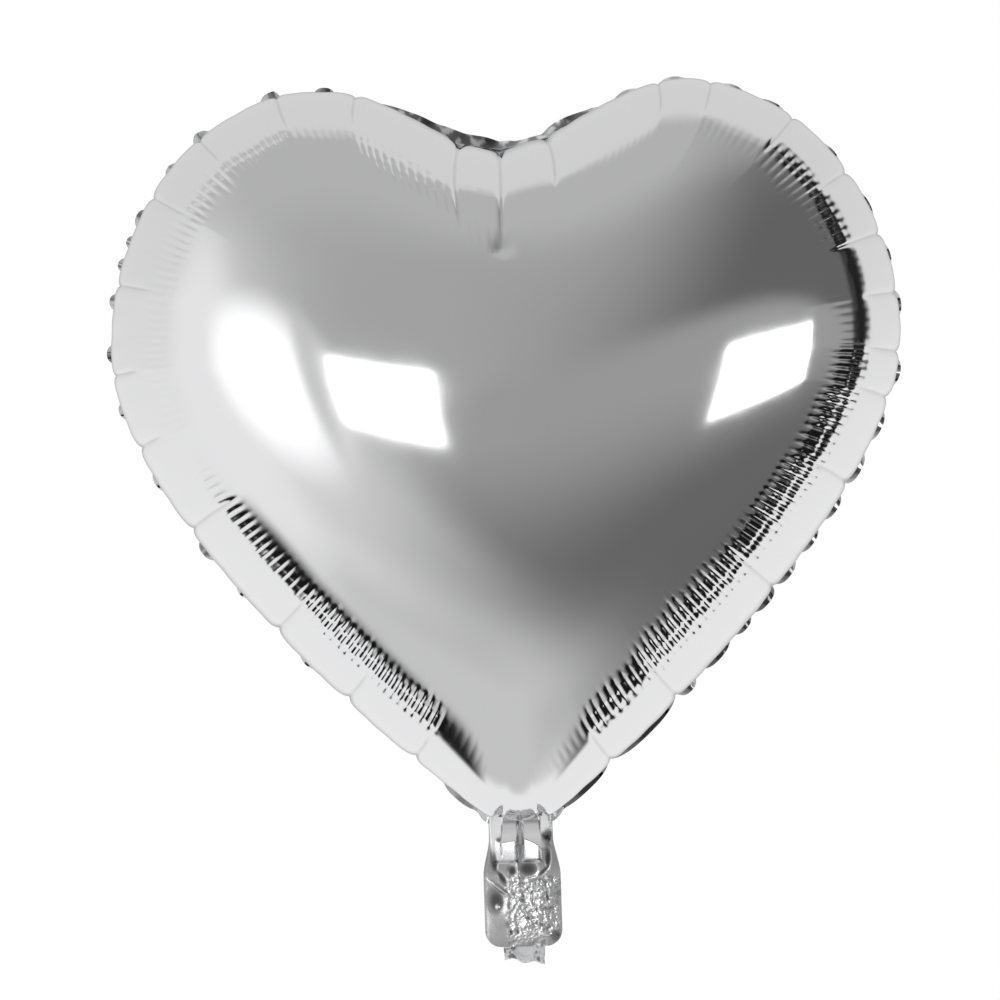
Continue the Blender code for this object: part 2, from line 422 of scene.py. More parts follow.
def filmLift(spokes, marks, runs, planLength, filmLength, seed):
    # height of the pillows, creases and pleats above the smooth dome, along its normal
    draw = np.random.default_rng(100 + seed)
    columns = len(spokes["outwards"])
    length = spokes["length"]
    stretch = runs["stretch"]
    rim = smooth(0, film["overhangLength"], filmLength)
    innerEdge = blurLoop(marks[stretch, 3], columns / length * film["bandWave"])
    belly = film["belly"] * (1 - (2 * runs["within"] - 1) ** 2)[:, None]
    lift = belly * rim * (1 - smooth(*film["bellyFade"], planLength)) - spokes["overhang"] * (1 - rim)
    nearRim = np.exp(-planLength / film["notchReach"])
    width = film["creaseWidth"] + (film["notchWidth"] - film["creaseWidth"]) * nearRim
    following = (stretch + 1) % len(marks)
    for away, mark in ((runs["fromStart"], stretch), (runs["toEnd"], following)):
        reach = marks[mark, 1][:, None]
        running = 1 - smooth(film["creaseFade"] * reach, reach, planLength)
        depth = film["notchDepth"] * nearRim + film["creaseDepth"] * running
        lift = lift - depth * rim * np.exp(-away[:, None] / width)

    fromEnd = planLength - marks[0, 1]
    dentLength, dentWidth = film["dentSize"]
    sideways = runs["fromCleft"][:, None]
    lift = lift - film["dent"] * np.exp(-(fromEnd / dentLength) ** 2 - (sideways / dentWidth) ** 2)

    pleatCount = int(length / film["pleatPitch"])
    driftAmount, driftLength = film["pleatDrift"]
    drift = blurLoop(draw.normal(0, 1, columns), columns / length * driftLength)
    phase = runs["share"] * pleatCount + driftAmount * drift / drift.std()
    pleat = np.floor(phase).astype(int) % pleatCount
    startSpread, endShift, endSpread = film["pleatRagged"]
    start = (film["bandEdge"] + draw.normal(0, startSpread, pleatCount)[pleat])[:, None]
    end = (innerEdge + draw.normal(endShift, endSpread, pleatCount)[pleat])[:, None]
    weight = draw.uniform(*film["pleatWeights"], pleatCount)[pleat]
    weight = weight * blurLoop(marks[stretch, 2], columns / length * film["pleatBlend"])
    ridge = (np.abs(np.sin(np.pi * phase)) - film["pleatMiddle"]) * weight
    here = smooth(start + film["pleatStart"][0], start + film["pleatStart"][1], planLength)
    here = here * (1 - smooth(end + film["pleatStop"][0], end + film["pleatStop"][1], planLength))
    shift = draw.uniform(0, film["dimpleShift"], pleatCount)[pleat][:, None]
    dents = np.sin(2 * np.pi * (planLength / film["dimplePitch"] + shift))
    lift = lift + (film["pleatDepth"] * ridge[:, None] + film["dimple"] * dents * weight[:, None]) * here

    waves = round(length / film["puckerPitch"]) * 2
    pucker = np.cos(2 * np.pi * runs["share"] * waves)
    return lift + film["pucker"] * pucker[:, None] * rim * (1 - smooth(*film["puckerFade"], planLength))


def borderTurn(spokes):
    # how far the border turns back out of the middle plane, and the painted shade on it, all round
    columns = len(spokes["outwards"])
    share = np.arange(columns) / columns
    halfShare = spokes["halfShare"]
    opened = np.zeros(columns)
    shade = np.full(columns, flange["hiddenShade"])
    spans = [(a * halfShare, b * halfShare, amount) for a, b, amount in openBorder["right"]]
    spans += [(1 - b * halfShare, 1 - a * halfShare, amount) for a, b, amount in openBorder["left"]]
    for start, end, amount in spans:
        within = np.clip((share - start) / (end - start), 0, 1)
        flat = flange["halfOpen"] + (1 - flange["halfOpen"]) * smooth(*flange["halfOpenBelow"], amount)
        opened = np.maximum(opened, flat * np.sin(np.pi * within) ** flange["squareness"])
        # painted shade of each open stretch
        shade = np.where((within > 0) & (within < 1), amount, shade)
    draw = np.random.default_rng(7)
    drift = blurLoop(draw.normal(0, 1, columns), flange["cleftWave"] / spokes["length"] * columns)
    drift = np.clip(drift / drift.std(), -2, 2)
    fromCleft = np.minimum(share, 1 - share) * spokes["length"]
    cleft = 1 - smooth(*flange["cleftSpan"], fromCleft)
    opened = np.maximum(opened, cleft)
    crumpled = flange["turnedOpen"] + flange["cleftTurn"] * cleft * drift
    turn = flange["turnedAway"] * (1 - opened) + crumpled * opened
    along = smooth(*flange["neckSpan"], np.abs(share - 0.5) * spokes["length"])
    return turn * along, blurLoop(shade, flange["shadeBlend"]) * along


def borderPlaces(spokes, seam, reach, turn, offset):
    # places in the border, this far out from the seam and this far from its middle layer
    reach, offset = np.broadcast_arrays(reach, offset)
    out = spokes["outwards"]
    turn = turn[:, None] * np.clip(reach / flange["rounding"], 0, 1)
    outwardPart = np.cos(turn) * reach - np.sin(turn) * offset
    return np.stack([
        seam[:, :1] + out[:, :1] * outwardPart,
        -np.sin(turn) * reach - np.cos(turn) * offset,
        seam[:, 1:] + out[:, 1:] * outwardPart,
    ], axis=2)


def paintedHighlights(spokes, runs, inwards, size):
    # painted highlights: bright places in the crumpled part over the cleft, from 0 to 1, where the painted
    # shade is taken away
    around = runs["share"] * spokes["length"]
    sideways, deep = crumple["searched"]
    bright = np.zeros(inwards.shape)
    for column in np.flatnonzero(runs["fromCleft"] < sideways):
        for row, inward in enumerate(inwards[column]):
            if inward < deep:
                bright[column, row] = noise.noise(Vector((around[column] / size, inward / size, 2.7)))
    return smooth(*crumple["speckRange"], bright)


def filmShade(spokes, marks, runs, planLength, filmLength):
    # painted shade on the film: thin dark lines along the creases, and the crumpled part over the cleft with
    # painted highlights in it
    following = (runs["stretch"] + 1) % len(marks)
    shade = 0 * planLength
    lineWidth, lineEnd = film["creaseLine"]
    for away, mark in ((runs["fromStart"], runs["stretch"]), (runs["toEnd"], following)):
        reach = marks[mark, 1][:, None]
        line = np.exp(-(away[:, None] / lineWidth) ** 2) * (1 - smooth(lineEnd * reach, reach, planLength))
        shade = np.maximum(shade, film["creaseShade"] * line)
    # painted shade over the crumpled cleft, broken by painted highlights
    crumpled = 1 - smooth(*crumple["sideways"], runs["fromCleft"][:, None])
    crumpled = crumpled * (1 - smooth(*crumple["inwards"], filmLength))
    plain = 1 - paintedHighlights(spokes, runs, filmLength, crumple["filmSpeck"])
    return np.maximum(shade, crumple["shade"] * crumpled * plain)


def panelPlaces(spokes, seed, facing):
    # the three blocks of places that make up a panel, each with its painted shade: border and rim, middle,
    # crown
    marks = creaseMarks(spokes["halfShare"], seed)
    runs = stretches(spokes, marks)
    columns = len(spokes["outwards"])
    rimLengths = film["rimLength"] * np.linspace(0, 1, film["rimRows"] + 1) ** film["rimCrowding"]
    rows = np.tile(rimLengths, (columns, 1))
    x, z, height, planLength = onSpokes(spokes, 1, rows)
    out = spokes["outwards"]
    pull = film["chord"] * runs["standOff"][:, None] * (1 - smooth(0, film["chordReach"], planLength))
    base = np.stack([x - out[:, :1] * pull, -height - film["gap"], z - out[:, 1:] * pull], axis=2)
    around = np.roll(base, -1, axis=0) - np.roll(base, 1, axis=0)
    normal = unit(np.cross(around, np.gradient(base, axis=1)))
    away = np.stack([out[:, 0], -np.ones(columns), out[:, 1]], axis=1)[:, None]
    normal *= np.sign((normal * away).sum(2, keepdims=True))
    lift = filmLift(spokes, marks, runs, planLength, rows, seed)
    rim = base + normal * lift[:, :, None]
    # the film comes back to its own side of the seal
    short = rim[:, :1, 1] + film["gap"]
    short = short * (1 - smooth(0, film["overhangLength"], rows))
    rim[:, :, 1] = np.minimum(rim[:, :, 1] - short, -film["gap"])

    turn, paintedShade = borderTurn(spokes)
    reach = np.linspace(1, 0, film["borderRows"] + 1)[None, :-1] * heart["border"]
    border = borderPlaces(spokes, rim[:, 0, ::2], reach, -facing * turn, film["gap"])
    fromSeam = np.repeat(-reach, columns, axis=0)
    # painted shade on the border, with painted highlights in the crumpled cleft
    bright = paintedHighlights(spokes, runs, fromSeam, crumple["borderSpeck"])
    borderShade = paintedShade[:, None] * (1 - crumple["borderBrightening"] * bright)
    shade = filmShade(spokes, marks, runs, planLength, rows)
    blocks = [(np.concatenate([border, rim], axis=1), np.concatenate([borderShade, shade], axis=1))]

    for every, fromShare, toShare, count, firstStep in (
        (film["middleEvery"], 0.0, film["middleShare"], film["middleRows"], film["middleStart"]),
        (film["crownEvery"], film["middleShare"], 1.0, film["crownRows"], film["crownStart"]),
    ):
        total = spokes["filmLength"][::every, -1:]
        step = (toShare - fromShare) / count
        shares = np.linspace(fromShare + step * firstStep, toShare, count)
        lengths = film["rimLength"] + (total - film["rimLength"]) * shares
        x, z, height, _ = onSpokes(spokes, every, lengths)
        blocks.append((np.stack([x, -height - film["gap"], z], axis=2), 0 * x))
    for block, _ in blocks:
        block[:, :, 1] *= -facing
    return blocks


def sealPlaces(spokes):
    # a closed thin band between the two panels, from the seam to the outside edge
    marks = creaseMarks(spokes["halfShare"], 0)
    runs = stretches(spokes, marks)
    inwards = spokes["overhang"] + film["chord"] * runs["standOff"][:, None]
    seam = spokes["plan"][:, 0] - spokes["outwards"] * inwards
    turn = borderTurn(spokes)[0]
    fromSeam, fromEdge = flange["bandEnds"]
    reach = np.linspace(fromSeam, heart["border"] - fromEdge, film["borderRows"])
    reach = np.r_[reach, reach[::-1], reach[0]][None]
    ones = np.ones(film["borderRows"])
    side = film["gap"] * flange["bandFilling"] * np.r_[ones, -ones, 1][None]
    return borderPlaces(spokes, seam, reach, turn, side)


def deselectAll():
    bpy.ops.object.select_all(action="DESELECT")


def onWholeMesh(work, **settings):
    bpy.ops.object.mode_set(mode="EDIT")
    bpy.ops.mesh.select_all(action="SELECT")
    work(**settings)
    bpy.ops.object.mode_set(mode="OBJECT")


def makeGrid(places, shade, wide):
    # a grid this many faces wide, with its points moved to the places, and the row that each point is in
    columns, rows = places.shape[:2]
    deselectAll()
    bpy.ops.mesh.primitive_grid_add(x_subdivisions=wide, y_subdivisions=rows - 1, size=2)
    grid = bpy.context.object
    flat = np.empty(len(grid.data.vertices) * 3)
    grid.data.vertices.foreach_get("co", flat)
    flat = flat.reshape(-1, 3)
    column = np.rint((flat[:, 0] + 1) / 2 * wide).astype(int) % columns
    row = np.rint((flat[:, 1] + 1) / 2 * (rows - 1)).astype(int)
    grid.data.vertices.foreach_set("co", places[column, row].ravel())
    grid.data.attributes.new("shade", "FLOAT", "POINT").data.foreach_set("value", shade[column, row])
    return grid, row


def ringBlock(places, shade, firstRing):
    # a grid wrapped round into a ring; every row of it keeps a number, so that the rows can be found again
    ring, row = makeGrid(places, shade, len(places))
    ring.data.attributes.new("ring", "INT", "POINT").data.foreach_set("value", firstRing + row)
    onWholeMesh(bpy.ops.mesh.remove_doubles, threshold=1e-7)
    return ring


def selectRings(piece, rings):
    mesh = piece.data
    numbers = np.empty(len(mesh.vertices), int)
    mesh.attributes["ring"].data.foreach_get("value", numbers)
    ends = np.empty(len(mesh.edges) * 2, int)
    mesh.edges.foreach_get("vertices", ends)
    a, b = numbers[ends.reshape(-1, 2)].T
    bpy.ops.object.mode_set(mode="EDIT")
    bpy.ops.mesh.select_mode(type="EDGE")
    bpy.ops.mesh.select_all(action="DESELECT")
    bpy.ops.object.mode_set(mode="OBJECT")
    mesh.edges.foreach_set("select", (a == b) & np.isin(a, rings))
    bpy.ops.object.mode_set(mode="EDIT")


def faceOutwards(piece, facing):
    mesh = piece.data
    mesh.update()
    if sum(face.normal.y * face.area for face in mesh.polygons) * facing < 0:
        onWholeMesh(bpy.ops.mesh.flip_normals)


def makePanel(name, spokes, seed, facing):
    rings = []
    firstRing = 0
    edges = []
    for block, shade in panelPlaces(spokes, seed, facing):
        rings.append(ringBlock(block, shade, firstRing))
        faceOutwards(rings[-1], facing)
        edges += [firstRing, firstRing + block.shape[1] - 1]
        firstRing += block.shape[1]
    deselectAll()
    for ring in rings:
        ring.select_set(True)
    bpy.context.view_layer.objects.active = rings[0]
    bpy.ops.object.join()
    panel = bpy.context.object
    panel.name = panel.data.name = name
    for pair in (edges[1:3], edges[3:5]):
        selectRings(panel, pair)
        bpy.ops.mesh.bridge_edge_loops()
        bpy.ops.object.mode_set(mode="OBJECT")
    faceOutwards(panel, facing)
    panel.data.attributes.remove(panel.data.attributes["ring"])
    panel.data.shade_smooth()
    return panel


def makeSeal(spokes):
    places = sealPlaces(spokes)
    band = ringBlock(places, 0 * places[:, :, 0], 0)
    band.name = band.data.name = "edge_seal"
    band.data.attributes.remove(band.data.attributes["ring"])
    onWholeMesh(bpy.ops.mesh.normals_make_consistent, inside=False)
    band.data.shade_smooth()
    return band


spokes = makeSpokes(film["columns"])
frontFilm = makePanel("front_film", spokes, 0, -1)
backFilm = makePanel("back_film", spokes, 21, 1)
edgeSeal = makeSeal(spokes)
print("panels", len(frontFilm.data.polygons), len(backFilm.data.polygons))

tail = {
    "columns": 150,
    "rows": 240,
    "top": 0.0118,  # tucked under the heart
    "neckHalf": -tailLow.x - 0.00325,
    "half": tailHigh.x,
    "shoulder": 0.020,
    "corner": 0.008,
    "bottom": tailLow.z,
    "gap": 0.00022,
    "crown": 0.00025,  # how far the two foils stand apart in the middle
    "sway": 0.0010,
    "swayPitch": (0.0115, 0.0062),
    "swayLean": (12, 25),
    "swayAcross": (0.3, 3.8),
    "crinkle": 0.00015,
    "crinkleSize": 0.0033,
    "fineCrinkle": 0.55,  # share of that size
    "smoothCrinkle": 0.06,  # share of the crinkle in the calmer parts
    "sealIn": 0.0105,
    "sealOut": 0.995,
    "sealLow": 0.0001,
    "sealThickness": 0.0003,
    "sealGrid": (12, 120),
    "bendFrom": 0.004,
    "bendTo": -0.006,
}

# the puffed neck and the crumpled lower right of the foils, in millimetres across and below the fold line
neck = {
    "ridgeEnds": (11.6, 13.8),
    "ridgeStarts": (-8.0, -2.0),
    "puff": 8.4,  # how far the foils stand out where they come from under the heart
    "puffStarts": (-11.8, -9.5),
    "puffEnds": (-8.0, 8.0),
    "puffSides": (0.55, 1.0),
    "edge": 2.2,
    # painted shade: a little all over the foil, more in the folds and in the knots of the crinkles
    "shade": 0.06,
    "roughAcross": (-9.5, -6.5),
    "roughBelow": (19, 22),
    "calmerBelow": (44, 48),
    "calmerBy": 0.55,
    "crinkleFrom": (13, 22),
    "knotShade": 0.42,
    "knots": (0.1, 1.0),
}

# its two ridges: height, there across, slopes across and downwards, between where they rise and fall across
neckRidges = [
    (0.7, -13.8, 0.135, 0.1, (-14.6, -12.4), (-3.4, -1.2)),
    (3.1, 1.2, -0.39, 0.07, (0.2, 1.8), (8.0, 10.6)),
]

# folds of the front foil, in millimetres: across, below the fold line, half width, half length,
# degrees that its long way leans, height, painted shade (below zero a painted highlight)
tailFolds = [
    (-0.4, 2.0, 1.5, 10.5, 0, -1.3, 0.45), (-9.6, 6.5, 0.5, 3.0, 4, -0.25, 0.25),
    (-13.3, 12.5, 1.5, 5.2, 3, -0.4, 0.85), (-9.6, 20.8, 1.4, 4.0, 32, -0.5, 0.88),
    (-11.7, 25.2, 1.0, 5.4, 50, 0.9, -0.5), (-12.7, 31.8, 4.0, 5.6, 6, -0.4, 0.84),
    (-12.3, 34.5, 1.1, 1.4, 0, 0.5, -0.9), (13.2, 0.0, 2.6, 3.0, 0, 0.4, 0.85),
    (12.8, 11.5, 1.4, 4.9, -3, -0.4, 0.86), (10.6, 18.0, 0.8, 2.8, -48, -0.3, 0.80),
    (-4.7, 17.3, 2.0, 2.5, 0, -0.9, 0.84), (2.8, 16.7, 4.4, 3.6, 0, -0.9, 0.82),
    (-2.1, 17.2, 0.6, 3.4, 4, 0.8, -0.6), (12.0, 30.0, 0.9, 2.4, 8, -0.2, 0.50),
    (0.6, 30.3, 0.8, 2.4, 8, -0.2, 0.55), (4.8, 29.6, 0.7, 2.6, 0, -0.2, 0.45),
    (12.0, 36.0, 2.6, 0.7, 4, -0.2, 0.50), (3.4, 40.3, 2.6, 0.7, 0, -0.2, 0.55),
    (8.6, 43.6, 3.2, 0.8, -10, -0.2, 0.45), (10.6, 48.0, 2.6, 0.9, -8, 0.5, -0.8),
    (15.6, 49.6, 2.6, 2.6, 0, -0.3, 0.62), (-6.0, 47.0, 1.0, 1.0, 0, -0.3, 0.85),
    (-2.9, 46.8, 0.8, 0.8, 0, -0.3, 0.75), (-12.0, 42.0, 4.6, 3.6, 0, 0.05, 0.10),
]


def tailHalfWidth(z):
    return tail["neckHalf"] + (tail["half"] - tail["neckHalf"]) * smooth(0, tail["shoulder"], -z)


def tailPlan(columns, rows, fromShare, toShare, top, bottom):
    # x and z over part of the tail's width, following its flared sides and its rounded lower corners
    share = np.linspace(fromShare, toShare, columns)[:, None]
    inCorner = np.clip(np.abs(share) * tail["half"] - (tail["half"] - tail["corner"]), 0, tail["corner"])
    rise = tail["corner"] - np.sqrt(tail["corner"] ** 2 - inCorner ** 2)
    low = np.maximum(bottom, tail["bottom"] + rise) if bottom >= tail["bottom"] else bottom + 0 * rise
    z = top + (low - top) * np.linspace(0, 1, rows)[None]
    return share * tailHalfWidth(z), z


def crinkles(x, z, size, seed):
    # sharp crossing ridges of crumpled film, from -1 to 1
    spots = [Vector((a / size, seed * 7.3, b / size)) for a, b in zip(x.ravel(), z.ravel())]
    coarse = np.array([abs(noise.noise(spot)) for spot in spots])
    fine = np.array([abs(noise.noise(spot * 2.1 + Vector((5, 1, 9)))) for spot in spots])
    return (1 - 2.6 * coarse - 1.3 * fine).reshape(x.shape)


def tailSway(x, z):
    # waves that all the layers of the tail share
    downPitch, acrossPitch = tail["swayPitch"]
    lean, acrossLean = tail["swayLean"]
    share, phase = tail["swayAcross"]
    waves = np.sin(-z / downPitch + lean * x) + share * np.sin(x / acrossPitch + phase + acrossLean * z)
    return tail["sway"] * smooth(0, tail["shoulder"], -z) * waves


def tailRelief(x, z, seed, mirror):
    # height of one foil in front of the middle layer, and the painted shade on it
    across, below = mirror * x * 1000, -z * 1000
    half = tailHalfWidth(z)
    height = 1000 * tail["crown"] * (1 - (x / half) ** 4)
    ridges = 0 * x
    for rise, atX, slopeAcross, slopeDown, begins, ends in neckRidges:
        ridge = rise + (across - atX) * slopeAcross + slopeDown * below
        ridges = ridges + ridge * smooth(*begins, across) * (1 - smooth(*ends, across))
    ridges = ridges * (1 - smooth(*neck["ridgeEnds"], below)) * smooth(*neck["ridgeStarts"], below)
    puff = neck["puff"] * smooth(*neck["puffStarts"], below) * (1 - smooth(*neck["puffEnds"], below))
    puff = puff * (1 - smooth(*neck["puffSides"], np.abs(x) / half))
    height = height + np.maximum(ridges, puff)
    shade = neck["shade"] + 0 * x
    # each fold's relief, and its painted shade or painted highlight
    for atX, atZ, halfWidth, halfLength, lean, rise, paintedShade in tailFolds:
        turn = math.radians(lean)
        u = ((across - atX) * math.cos(turn) - (below - atZ) * math.sin(turn)) / halfWidth
        v = ((across - atX) * math.sin(turn) + (below - atZ) * math.cos(turn)) / halfLength
        amount = np.exp(-(u * u + v * v) ** 2)
        height = height + rise * amount
        shade = shade + paintedShade * amount
    rough = smooth(*neck["roughAcross"], across) * smooth(*neck["roughBelow"], below)
    rough = rough * (1 - neck["calmerBy"] * smooth(*neck["calmerBelow"], below))
    calm = tail["smoothCrinkle"] * smooth(*neck["crinkleFrom"], below)
    noisy = crinkles(x, z, tail["crinkleSize"], seed)
    height = height + 1000 * tail["crinkle"] * np.maximum(rough, calm) * noisy
    fine = crinkles(x, z, tail["crinkleSize"] * tail["fineCrinkle"], seed + 3)
    # painted shade in the knots of the crinkles
    shade = shade + neck["knotShade"] * rough * smooth(*neck["knots"], -noisy + 0.6 * fine)
    nearEdge = smooth(0, neck["edge"], (half - np.abs(x)) * 1000)
    return np.maximum(height * nearEdge, 0) / 1000 + tail["gap"], np.clip(shade, 0, 1)


def makeStrip(name, x, y, z, shade, facing):
    strip = makeGrid(np.stack([x, y, z], axis=2), shade, len(x) - 1)[0]
    strip.name = strip.data.name = name
    faceOutwards(strip, facing)
    strip.data.shade_smooth()
    return strip


def makeTailFoil(name, facing, seed):
    x, z = tailPlan(tail["columns"], tail["rows"], -1, 1, tail["top"], tail["bottom"])
    height, shade = tailRelief(x, z, seed, -facing)
    return makeStrip(name, x, tailSway(x, z) + facing * height, z, shade, facing)


def makeTailSeal(name, side):
    # the fused strip between the two foils along one side
    inside = tail["sealIn"] / tail["half"]
    top, bottom = tail["bendTo"] * 0.3, tail["bottom"] + tail["sealLow"]
    x, z = tailPlan(*tail["sealGrid"], side * inside, side * tail["sealOut"], top, bottom)
    x = side * np.maximum(np.abs(x), tail["sealIn"])
    strip = makeStrip(name, x, tailSway(x, z), z, 0 * x, -1)
    bpy.ops.object.modifier_add(type="SOLIDIFY")
    thicken = strip.modifiers[-1]
    thicken.thickness = tail["sealThickness"]
    thicken.offset = 0
    bpy.ops.object.modifier_apply(modifier=thicken.name)
    return strip


mouth = {
    "half": valveHigh.x,
    "top": tail["bottom"] + 0.010,
    "bottom": valveLow.z,
    "gap": 0.00008,
    "free": 0.002,  # above the tail's end, from where it is loose
    "ruffle": 0.0016,
    "ruffleWave": (0.0021, 0.6),
    "crinkle": 0.0009,
    "crinkleSize": 0.0034,
    "ragged": (0.0022, -0.009, 0.004),  # its end is shorter at the left, between these places
    "teeth": (0.0007, 0.0016),
    "clearPart": ((-0.005, -0.003), (0.004, 0.006)),
    # where the painted shade starts over the crinkles of the valve film
    "shadedCrease": (-0.4, 0.5),
    "leastShade": 0.20,
    "wave": (0.04, 0.002),
    "columns": 90,
    "rows": 70,
}


def makeMouth(name, facing, seed):
    # clear valve film, ruffled where it stands out of the tail
    x, z = np.meshgrid(
        np.linspace(-mouth["half"], mouth["half"], mouth["columns"]),
        np.linspace(mouth["top"], mouth["bottom"], mouth["rows"]), indexing="ij",
    )
    out = smooth(tail["bottom"] + mouth["free"], mouth["bottom"], z)
    short, shortFrom, shortTo = mouth["ragged"]
    toothHeight, toothPitch = mouth["teeth"]
    ragged = short * out * (1 - smooth(shortFrom, shortTo, x))
    ragged = ragged + toothHeight * out * np.sin(x / toothPitch + seed)
    rough = crinkles(x, z, mouth["crinkleSize"], seed)
    clearFrom, clearTo = mouth["clearPart"]
    # painted shade: dark over the creased sides of the valve film, none in its clear middle
    shadedCrease = 1 - smooth(*clearFrom, x) * (1 - smooth(*clearTo, x))
    shadedCrease = shadedCrease * smooth(*mouth["shadedCrease"], -rough)
    shade = mouth["leastShade"] + (1 - mouth["leastShade"]) * shadedCrease
    y = tailSway(x, z) + facing * (mouth["gap"] + out * (mouth["crinkle"] * (0.8 + 0.7 * rough)))
    ruffleLength, rufflePhase = mouth["ruffleWave"]
    y = y + mouth["ruffle"] * out * np.sin(x / ruffleLength + rufflePhase)
    narrower, waveLength = mouth["wave"]
    x = x * (1 - narrower * out * np.sin(z / waveLength))
    return makeStrip(name, x, y, z + ragged, shade, facing)


def bendAtFold(piece):
    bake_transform(piece)


tailFront = makeTailFoil("tail_front_film", -1, 2)
tailBack = makeTailFoil("tail_back_film", 1, 11)
tailSeals = [makeTailSeal("tail_seal_strip_left", -1), makeTailSeal("tail_seal_strip_right", 1)]
mouthFront = makeMouth("valve_film_front", -1, 5)
mouthBack = makeMouth("valve_film_back", 1, 17)
print("tail", len(tailFront.data.polygons), "mouth", len(mouthFront.data.polygons))

foilFinish = {
    "bright": (0.86, 0.86, 0.87),
    # colour of the painted shade
    "shadeColour": (0.085, 0.085, 0.09),
    "leastRoughness": 0.070,
    "mostRoughness": 0.100,
    "handling": 46.0,  # size of the handling marks, per metre
    "grain": 1500.0,
    "relief": 0.000004,
}

# the tail's film has been handled more, so it is duller
handledFinish = dict(foilFinish, leastRoughness=0.20, mostRoughness=0.30)

sealantFinish = {
    "light": (0.74, 0.75, 0.76),
    "dark": (0.50, 0.51, 0.52),
    "leastRoughness": 0.30,
    "mostRoughness": 0.44,
    "handling": 160.0,
    "grain": 2400.0,
    "relief": 0.00002,
}

clearFinish = {
    "clear": (0.90, 0.91, 0.92),
    # colour of the painted shade over the valve film's creases
    "shadedCrease": (0.10, 0.10, 0.105),
    "leastRoughness": 0.08,
    "mostRoughness": 0.20,
    "handling": 240.0,
    "grain": 3000.0,
    "relief": 0.00001,
    "alpha": 0.78,
}


def makeFilmGrain():
    # faint handling marks and the fine grain of rolled film, for every material here
    group = bpy.data.node_groups.new("filmGrain", "ShaderNodeTree")
    for label in ("Handling", "Grain", "Least roughness", "Most roughness"):
        group.interface.new_socket(label, in_out="INPUT", socket_type="NodeSocketFloat")
    for label in ("Roughness", "Height", "Marks"):
        group.interface.new_socket(label, in_out="OUTPUT", socket_type="NodeSocketFloat")
    nodes, links = group.nodes, group.links
    given = nodes.new("NodeGroupInput")
    made = nodes.new("NodeGroupOutput")
    place = nodes.new("ShaderNodeTexCoord")
    marks = nodes.new("ShaderNodeTexNoise")
    grain = nodes.new("ShaderNodeTexNoise")
    marks.inputs["Detail"].default_value = 5
    marks.inputs["Roughness"].default_value = 0.62
    grain.inputs["Detail"].default_value = 2
    span = nodes.new("ShaderNodeMapRange")
    for texture, label in ((marks, "Handling"), (grain, "Grain")):
        links.new(place.outputs["Object"], texture.inputs["Vector"])
        links.new(given.outputs[label], texture.inputs["Scale"])
    links.new(marks.outputs["Fac"], span.inputs["Value"])
    span.inputs["From Min"].default_value = 0.3
    span.inputs["From Max"].default_value = 0.7
    links.new(given.outputs["Least roughness"], span.inputs["To Min"])
    links.new(given.outputs["Most roughness"], span.inputs["To Max"])
    links.new(span.outputs[0], made.inputs["Roughness"])
    links.new(grain.outputs["Fac"], made.inputs["Height"])
    links.new(marks.outputs["Fac"], made.inputs["Marks"])
    return group


filmGrain = makeFilmGrain()


def makeMaterial(name, finish, fresh, shadeOrMarks, byShade):
    # film or sealant: its colour turns from fresh to a second colour, to the painted shade colour with the
    # painted shade of the place, or on the sealant to a darker tone with the handling marks on it
    material = bpy.data.materials.new(name)
    material.use_nodes = True
    nodes, links = material.node_tree.nodes, material.node_tree.links
    shader = nodes["Principled BSDF"]
    grain = nodes.new("ShaderNodeGroup")
    grain.node_tree = filmGrain
    keys = ("handling", "grain", "leastRoughness", "mostRoughness")
    for label, key in zip(("Handling", "Grain", "Least roughness", "Most roughness"), keys):
        grain.inputs[label].default_value = finish[key]
    bump = nodes.new("ShaderNodeBump")
    bump.inputs["Distance"].default_value = finish["relief"]
    links.new(grain.outputs["Height"], bump.inputs["Height"])
    links.new(bump.outputs["Normal"], shader.inputs["Normal"])
    links.new(grain.outputs["Roughness"], shader.inputs["Roughness"])
    blendColours = nodes.new("ShaderNodeMix")
    blendColours.data_type = "RGBA"
    colourInputs = [socket for socket in blendColours.inputs if socket.type == "RGBA"]
    colourInputs[0].default_value = (*finish[fresh], 1)
    colourInputs[1].default_value = (*finish[shadeOrMarks], 1)
    if byShade:
        # painted shade, from the shade attribute
        shade = nodes.new("ShaderNodeAttribute")
        shade.attribute_name = "shade"
        links.new(shade.outputs["Fac"], blendColours.inputs[0])
    else:
        links.new(grain.outputs["Marks"], blendColours.inputs[0])
    colour = next(socket for socket in blendColours.outputs if socket.type == "RGBA")
    links.new(colour, shader.inputs["Base Color"])
    return material, shader


silverFoil, foilShader = makeMaterial("silverFoil", foilFinish, "bright", "shadeColour", True)
foilShader.inputs["Metallic"].default_value = 1
handledFoil, handledShader = makeMaterial("handledFoil", handledFinish, "bright", "shadeColour", True)
handledShader.inputs["Metallic"].default_value = 1
fusedSealant, sealantShader = makeMaterial("fusedSealant", sealantFinish, "light", "dark", False)
sealantShader.inputs["Metallic"].default_value = 0.6
clearFilm, clearShader = makeMaterial("clearFilm", clearFinish, "clear", "shadedCrease", True)
clearShader.inputs["Alpha"].default_value = clearFinish["alpha"]
clearShader.inputs["IOR"].default_value = 1.5

for piece, node in ((frontFilm, "front_panel"), (backFilm, "back_panel")):
    piece.data.materials.append(silverFoil)
    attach(piece, "balloon")
    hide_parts(node)

edgeSeal.data.materials.append(fusedSealant)
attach(edgeSeal, "balloon")
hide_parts("perimeter_seal")

for piece, node in ((tailFront, "tail_front_foil"), (tailBack, "tail_back_foil")):
    piece.data.materials.append(handledFoil)
    bendAtFold(piece)
    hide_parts(node)

